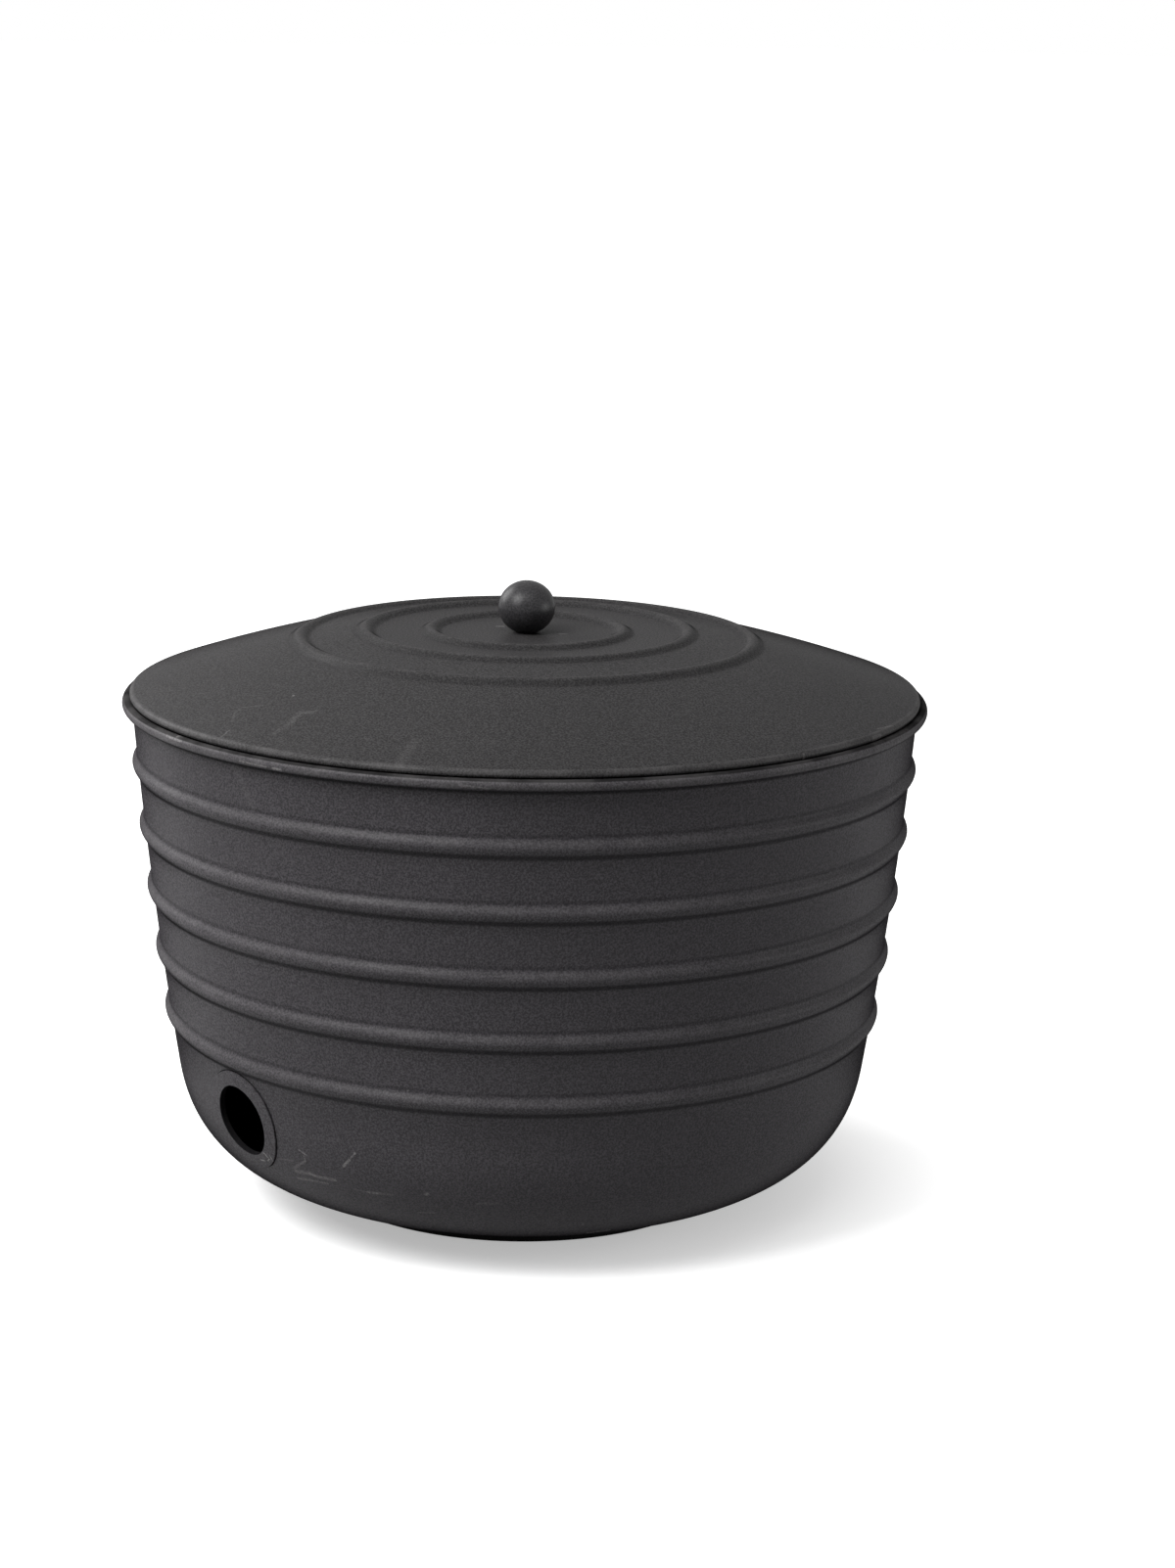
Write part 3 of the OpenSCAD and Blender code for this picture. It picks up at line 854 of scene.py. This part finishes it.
across = Vector((1, 0, 0))
up_hole = across.cross(hole_axis) * -1


def wall_under(u, v):
    """Point of the wall's outside that lies at (u, v) across the hole, and the wall's normal there."""
    flat = hole_at + across * u + up_hole * v
    low, high = -WALL_SEARCH, WALL_SEARCH
    for _ in range(HALVINGS):
        t = (low + high) / 2
        p = flat + hole_axis * t
        if hypot(p.x, p.y) < outer_r(p.z):
            low = t
        else:
            high = t
    slope = (outer_r(p.z + SLOPE_STEP) - outer_r(p.z - SLOPE_STEP)) / (2 * SLOPE_STEP)
    return p, Vector((p.x, p.y, -slope * hypot(p.x, p.y))).normalized()


def bent_ring(name, section, material):
    """A closed ring round the hose hole. Its section is (radius from the hole, height off the wall)."""
    points = []
    for i in range(ROUND_STEPS):
        turn = 2 * pi * i / ROUND_STEPS
        for rho, height in section:
            p, normal = wall_under(rho * cos(turn), rho * sin(turn))
            way = hole_axis if rho <= BARREL_R else normal
            points.append(tuple((p + way * height) * MM))
    count = len(section)
    rounds = [(i * count, (i + 1) % ROUND_STEPS * count) for i in range(ROUND_STEPS)]
    faces = [(here + j, here + (j + 1) % count, there + (j + 1) % count, there + j)
             for here, there in rounds for j in range(count)]
    mesh = bpy.data.meshes.new(name)
    mesh.from_pydata(points, [], faces)
    mesh.materials.append(material)
    return outward(new_object(name, mesh))


barrel_low = -LIP_IN + MOUTH_ROUND
barrel_run = LIP_IN + EYELET_T - 2 * MOUTH_ROUND
flange_run = EYELET_R - FLANGE_EDGE - HOLE_R - MOUTH_ROUND
under_washer = -SHEET - BACKING_T
eyelet_section = (
    [(HOLE_R, barrel_low + barrel_run * i / BARREL_STEPS) for i in range(1, BARREL_STEPS)]
    + arc((HOLE_R + MOUTH_ROUND, EYELET_T - MOUTH_ROUND), MOUTH_ROUND, 180, 90, MOUTH_STEPS)
    + [(HOLE_R + MOUTH_ROUND + flange_run * i / FLANGE_STEPS, EYELET_T) for i in range(1, FLANGE_STEPS)]
    + arc((EYELET_R - FLANGE_EDGE, EYELET_T - FLANGE_EDGE), FLANGE_EDGE, 90, 0, FLANGE_EDGE_STEPS)
    + [(EYELET_R, 0), (EYELET_R - ROW_GAP, 0), (EYELET_R - 2 * ROW_GAP, 0), (BARREL_R + CORNER_FIT, 0),
       (BARREL_R, -SHEET), (BARREL_R + CORNER_FIT, under_washer), (LIP_R - EYELET_T / 2, under_washer)]
    + arc((LIP_R - EYELET_T / 2, -LIP_IN + EYELET_T / 2), EYELET_T / 2, 90, -90, MOUTH_STEPS)[1:]
    + arc((HOLE_R + MOUTH_ROUND, barrel_low), MOUTH_ROUND, 270, 180, MOUTH_STEPS))
backing_section = [
    (BARREL_R + BARREL_PLAY, -SHEET), (BARREL_R + BARREL_PLAY, under_washer),
    (BARREL_R + ROW_GAP, under_washer), (BACKING_R - BACKING_EDGE, under_washer),
    (BACKING_R, under_washer + BACKING_EDGE), (BACKING_R, -SHEET), (BARREL_R + ROW_GAP, -SHEET)]


def bore_painted_shade(tree):
    """Painted shade that blackens the inside of the barrel."""
    return shade_range(tree, from_hole(tree)[0], *BORE_SHADE_SPAN, 0.0, BORE_SHADE)


eyelet_coat = powder_coat("eyelet_powder_coat", painted_shade_of=bore_painted_shade, place_of=round_the_pot, bare=EYELET_WEAR)
hidden_coat = powder_coat("hidden_powder_coat", coat=HIDDEN_COAT, pale=HIDDEN_COAT_PALE)
eyelet = bent_ring("eyelet", eyelet_section, eyelet_coat)
backing = bent_ring("backing_washer", backing_section, hidden_coat)
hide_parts("hose_eyelet")
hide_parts("eyelet_backing_washer")
for piece in (eyelet, backing):
    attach(piece, "pot")

# ---- Lid ----
# Pressed from one disc of sheet steel: a shallow seat for the knob, three raised rings, a sloping
# skirt with a slight crown, and an edge rolled under, which nests on the shoulder of the rim.
LID_INSET = 4
LID_ROLL_R = 2.5
LID_ROLL_END = -190
LID_PLAY = 0.3
LID_RISE = 33
LID_TOP = RIM_TOP + LID_RISE
SHOULDER_FALL = 5.1
SKIRT_BOW = 1
RINGS = 3
RING_FIRST_R = 51.5
RING_PITCH = 35
RING_W = 14
RING_H = 2.8
SEAT_R = 16
SEAT_DEPTH = 0.3
SCREW_HOLE_R = 3.3
SEAT_STEPS = 12
FLAT_STEPS = 4
RING_STEPS = 24
SKIRT_STEPS = 24
LID_ROLL_STEPS = 40
# The lid's coat is a neutral grey and darker than the pot's: the extra darkness is painted shade against the
# light it takes from above.
LID_COAT = (0.0172, 0.0165, 0.0169, 1)
LID_COAT_PALE = (0.0490, 0.0472, 0.0482, 1)
LID_GLOSS = 0.21
LID_FADES = (0.85, 1.0)

lid_roll_x = RIM_R - LID_INSET - LID_ROLL_R
lid_roll_rise = sqrt((RIM_ROLL_R + LID_ROLL_R + LID_PLAY) ** 2 - (roll_at[0] - lid_roll_x) ** 2)
lid_roll_at = (lid_roll_x, roll_at[1] + lid_roll_rise)
lid_flat_r = RING_FIRST_R + RING_PITCH + RING_W / 2
shoulder = (RING_FIRST_R + (RINGS - 1) * RING_PITCH + RING_W / 2, LID_TOP - SHOULDER_FALL)

# Painted shade and painted highlight at the rings, measured outwards from a crest, and at the rolled edge.
RING_FOOT_SHADE = (4.2, 0.8, 2.2, 0.22)
RING_INNER_SHADE = (-4.8, 0.6, 1.8, 0.15)
RING_CREST_HIGHLIGHT = (-0.5, 1, 2.5, 1)
UNDER_EDGE = (lid_roll_at[1] - 0.8, lid_roll_at[1] - 1.4)
UNDER_EDGE_SHADE = 0.85
EDGE_HIGHLIGHT_R = (lid_roll_x - 0.3, lid_roll_x + 1)
EDGE_HIGHLIGHT_Z = (lid_roll_at[1] - 0.4, lid_roll_at[1] + 0.2)


def lid_z(r):
    if r < lid_flat_r:
        return LID_TOP
    return LID_TOP - SHOULDER_FALL * (r - lid_flat_r) / (shoulder[0] - lid_flat_r)


def lid_outline():
    """Top of the lid, from the screw's hole to the end of the rolled edge."""
    points = [(SCREW_HOLE_R + SHEET / 2, LID_TOP - SEAT_DEPTH)]
    for i in range(SEAT_STEPS + 1):
        s = SEAT_R / 2 * i / SEAT_STEPS
        points.append((SEAT_R / 2 + s, LID_TOP - bead(s, SEAT_R, SEAT_DEPTH)))
    for k in range(RINGS):
        crest = RING_FIRST_R + k * RING_PITCH
        before = points[-1][0]
        for i in range(1, FLAT_STEPS):
            r = before + (crest - RING_W / 2 - before) * i / FLAT_STEPS
            points.append((r, lid_z(r)))
        for i in range(RING_STEPS + 1):
            s = RING_W * (i / RING_STEPS - 1 / 2)
            points.append((crest + s, lid_z(crest + s) + bead(s, RING_W, RING_H)))
    way = Vector(lid_roll_at) - Vector(shoulder)
    slope = atan2(way.y, way.x) + asin(LID_ROLL_R / way.length) - atan(4 * SKIRT_BOW / way.length)
    end = Vector(lid_roll_at) + LID_ROLL_R * Vector((cos(pi / 2 + slope), sin(pi / 2 + slope)))
    run = end - Vector(shoulder)
    left = Vector((-run.y, run.x)).normalized()
    for i in range(1, SKIRT_STEPS):
        u = i / SKIRT_STEPS
        points.append(tuple(Vector(shoulder) + u * run + 4 * SKIRT_BOW * u * (1 - u) * left))
    return points, arc(lid_roll_at, LID_ROLL_R, 90 + degrees(slope), LID_ROLL_END, LID_ROLL_STEPS)


lid_top, lid_roll = lid_outline()

# Scratches and smears on the lid, as they are on the photo.
LID_MARKS = [
    ((16, -207.5), (13.5, -201.5), 0.8, 0.25), ((6.5, -195), (-1.5, -187.5), 0.9, 0.12),
    ((-1.5, -187.5), (-2.8, -181.8), 0.9, 0.12), ((-2.8, -181.8), (6, -176), 0.9, 0.12),
    ((40, -192.5), (38, -182), 2.5, 0.08), ((38, -182), (33, -172.5), 3, 0.12),
    ((33, -172.5), (38.5, -168), 2.5, 0.14), ((12, -161.2), (12.2, -161.2), 1.0, 0.6),
    # The smear from (202, 60.5) to (199.3, 69) is a painted highlight on the rolled edge.
    ((116, -173.5), (105, -155.5), 4, 0.08), ((202, 60.5), (199.3, 69), 0.5, 0.3),
    ((195.6, 70.3), (192, 84.5), 0.7, 0.3), ((210.9, 3.2), (210.9, 3.8), 0.8, 0.5),
    ((-21.3, -3.1), (-19.2, -0.5), 1.2, 0.8), ((15.9, 10.8), (17, 12), 2.5, 0.3)]


def from_middle(tree):
    return vector_maths(tree, "LENGTH", over_the_lid(tree), result="Value")


def outside_crest(tree):
    """How far outwards from the crest of the nearest ring, in millimetres, and a mask of the rings."""
    away = from_middle(tree)
    ringed = band_mask(tree, away, RING_FIRST_R + RING_PITCH, RING_PITCH + RING_W / 2, 1)
    return from_nearest(tree, away, RING_FIRST_R, RING_PITCH), ringed


def lid_painted_shade(tree):
    """Painted shade at the feet of the three rings, more at their outer feet, and under the rolled edge."""
    outside, ringed = outside_crest(tree)
    at_rings = shade_maths(tree, "MAXIMUM", band_mask(tree, outside, *RING_FOOT_SHADE),
                           band_mask(tree, outside, *RING_INNER_SHADE))
    under_edge = shade_range(tree, height_up(tree), *UNDER_EDGE, 0.0, UNDER_EDGE_SHADE)
    return shade_maths(tree, "MAXIMUM", shade_maths(tree, "MULTIPLY", at_rings, ringed), under_edge)


def lid_painted_highlight(tree):
    """Painted highlight, in patches, on the rolled edge and on the crests of the rings."""
    place = over_the_lid(tree)
    outside, ringed = outside_crest(tree)
    crest = shade_maths(tree, "MULTIPLY", band_mask(tree, outside, *RING_CREST_HIGHLIGHT), ringed)
    edge = shade_maths(tree, "MULTIPLY", shade_range(tree, from_middle(tree), *EDGE_HIGHLIGHT_R),
                       shade_range(tree, height_up(tree), *EDGE_HIGHLIGHT_Z))
    return shade_maths(tree, "MAXIMUM",
                       effect(tree, patchy_highlight, Place=place, Where=edge, Least=0.04, Most=0.13)["Highlight"],
                       effect(tree, patchy_highlight, Place=place, Where=crest, Least=0.01, Most=0.04)["Highlight"])


lid_coat = powder_coat("lid_powder_coat", coat=LID_COAT, pale=LID_COAT_PALE, gloss=LID_GLOSS,
                       fades=LID_FADES, painted_shade_of=lid_painted_shade, painted_highlight_of=lid_painted_highlight, place_of=over_the_lid,
                       marks=LID_MARKS)
lid = spun("lid", sheet_section(lid_top + lid_roll, -SHEET, 0), lid_coat)
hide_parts("lid_shell")
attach(lid, "lid")

# ---- Locating ring ----
# A strip rolled to a ring and stitch welded under the lid's skirt, just inside its rolled edge. It
# hangs in the mouth of the pot and keeps the lid from sliding off.
LOCATING_GAP = 0.5
LOCATING_R = lid_roll_x - LID_ROLL_R - LOCATING_GAP
LOCATING_T = 1.2
LOCATING_EDGE = 0.35
LOCATING_DEPTH = 13
LOCATING_WELDS = 8
LOCATING_WELD_LENGTH = 14
LOCATING_WELD_R = 1.2

lid_under = moved(lid_top + lid_roll[:1], -SHEET)
locating_section = strip_section(LOCATING_R, LOCATING_T, LOCATING_EDGE, RIM_TOP - LOCATING_DEPTH, lid_under)
locating = spun("locating_ring", locating_section, hidden_coat)
locating_welds = stitch_welds(
    "locating_welds", hidden_coat, Count=LOCATING_WELDS, Circle=LOCATING_R - LOCATING_T,
    Length=LOCATING_WELD_LENGTH, Thickness=LOCATING_WELD_R,
    Height=height_on(lid_under, LOCATING_R - LOCATING_T) - WELD_DROP)
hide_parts("lid_locating_ring")
for piece in (locating, locating_welds):
    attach(piece, "lid")

# ---- Ball knob ----
# A turned, slightly flattened steel ball with a small flat to stand on and a threaded blind hole for
# its screw. It is coated like the lid, and hands have rubbed it a little smoother.
KNOB_R = 15.15
KNOB_H = 28.6
KNOB_FLAT_R = 4.5
KNOB_STEPS = 128
SCREW_R = 3
SCREW_LEN = 15
THREAD_PLAY = 0.05
THREAD_RUNOUT = 2
WASHER_T = 1.6
WASHER_R = 9
KNOB_COAT = (0.017, 0.0164, 0.0174, 1)
KNOB_COAT_PALE = (0.0451, 0.0434, 0.0462, 1)
KNOB_DULLNESS = 0.35
KNOB_GLOSS = 0.42
KNOB_FADES = (0.75, 1.0)

knob_seat = LID_TOP - SEAT_DEPTH
knob_z = knob_seat + KNOB_H / 2 * sqrt(1 - (KNOB_FLAT_R / KNOB_R) ** 2)
thread_end = knob_seat + SCREW_LEN - SHEET - WASHER_T + THREAD_RUNOUT
thread_hole_r = SCREW_R + THREAD_PLAY
flat_angle = -degrees(acos(KNOB_FLAT_R / KNOB_R))
ball = arc((0, 0), KNOB_R, flat_angle, 90, KNOB_STEPS // 2)
knob_section = [(0, thread_end), (thread_hole_r, thread_end), (thread_hole_r, knob_seat)]
knob_section += [(r, knob_z + z * KNOB_H / 2 / KNOB_R) for r, z in ball[:-1]] + [(0, knob_z + KNOB_H / 2)]
knob_coat = powder_coat("knob_powder_coat", coat=KNOB_COAT, pale=KNOB_COAT_PALE, dullness=KNOB_DULLNESS,
                        gloss=KNOB_GLOSS, fades=KNOB_FADES)
knob = spun("knob", knob_section, knob_coat, steps=KNOB_STEPS)
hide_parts("knob_ball")
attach(knob, "lid")

# ---- Knob screw and washer ----
# A zinc-plated pan-head screw with a cross recess, driven from under the lid through a flat washer.
# Only the head and the washer show, and only when the lid is lifted.
HEAD_R = 6
HEAD_H = 3.8
HEAD_FULLNESS = 0.5
HEAD_STEPS = 16
POINT = 0.7
SHANK_LEN = 4
RECESS_W = 1.6
RECESS_L = 6
RECESS_DEPTH = 2
RECESS_TAPER_W = 0.8
RECESS_TAPER_L = 0.6
THREAD_START = 1
THREAD_PITCH = 1
THREAD_DEPTH = 0.25
WASHER_EDGE = 0.2
SCREW_STEPS = 96
ZINC = (0.55, 0.56, 0.58, 1)
ZINC_WARM = (0.72, 0.71, 0.68, 1)
ZINC_DULLNESS = (0.26, 0.42)
ZINC_CLOUDS = 160
TOOL_RINGS = 900
TOOL_BUMP = 0.15
TOOL_BUMP_H = 0.00005

head_top = knob_seat - SHEET - WASHER_T
screw_end = head_top + SCREW_LEN


def zinc_plate():
    """Bright zinc plate over turned steel, with fine rings from the tool and a faint blue cast."""
    material = bpy.data.materials.new("zinc_plate")
    material.use_nodes = True
    tree = material.node_tree
    shader = tree.nodes["Principled BSDF"].inputs
    shader["Metallic"].default_value = 1
    place = object_place(tree)
    clouds = shade_noise(tree, place, ZINC_CLOUDS, detail=3, roughness=0.6)
    rings = add_node(tree, "ShaderNodeTexWave", {"Vector": place, "Scale": TOOL_RINGS},
                     wave_type="RINGS", rings_direction="Z")
    tree.links.new(shade_mix(tree, clouds, ZINC, ZINC_WARM), shader["Base Color"])
    tree.links.new(shade_range(tree, clouds, *NOISE_SPAN, *ZINC_DULLNESS), shader["Roughness"])
    tree.links.new(bumped(tree, rings.outputs[1], TOOL_BUMP, TOOL_BUMP_H), shader["Normal"])
    return material


zinc = zinc_plate()
screw_section = [(0, screw_end), (SCREW_R - POINT, screw_end), (SCREW_R, screw_end - POINT)]
for i in range(int((SCREW_LEN - SHANK_LEN) / THREAD_PITCH)):
    for share, depth in ((0.2, 0), (0.5, THREAD_DEPTH), (0.8, 0)):
        screw_section.append((SCREW_R - depth, screw_end - THREAD_START - (i + share) * THREAD_PITCH))
screw_section.append((SCREW_R, head_top))
for i in range(HEAD_STEPS):
    turn = pi / 2 * i / HEAD_STEPS
    screw_section.append((HEAD_R * cos(turn) ** HEAD_FULLNESS, head_top - HEAD_H * sin(turn)))
screw_section.append((0, head_top - HEAD_H))
screw = spun("screw", screw_section, zinc, steps=SCREW_STEPS)


def recess_bar(turn):
    """One tapered arm of the driver's cross, from below."""
    work = bmesh.new()
    bmesh.ops.create_cube(work, size=1)
    for v in work.verts:
        deep = v.co.z > 0
        v.co.x *= RECESS_L * (RECESS_TAPER_L if deep else 1) * MM
        v.co.y *= RECESS_W * (RECESS_TAPER_W if deep else 1) * MM
        v.co.z = (head_top - HEAD_H + (RECESS_DEPTH if deep else -1)) * MM
    bmesh.ops.rotate(work, verts=work.verts, matrix=Matrix.Rotation(turn, 3, "Z"))
    return cutter_of(work, "recess")


screw = cut(screw, recess_bar(0), recess_bar(pi / 2))
washer_rs = (SCREW_HOLE_R + WASHER_EDGE, WASHER_R - WASHER_EDGE)
washer_zs = (head_top + WASHER_EDGE, head_top + WASHER_T - WASHER_EDGE)
washer_section = []
for side, level, start in ((1, 1, 90), (1, 0, 0), (0, 0, -90), (0, 1, -180)):
    washer_section += arc((washer_rs[side], washer_zs[level]), WASHER_EDGE, start, start - 90, END_STEPS)
washer = spun("washer", washer_section + washer_section[:1], zinc, steps=SCREW_STEPS)
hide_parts("knob_screw")
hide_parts("knob_washer")
for piece in (screw, washer):
    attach(piece, "lid")
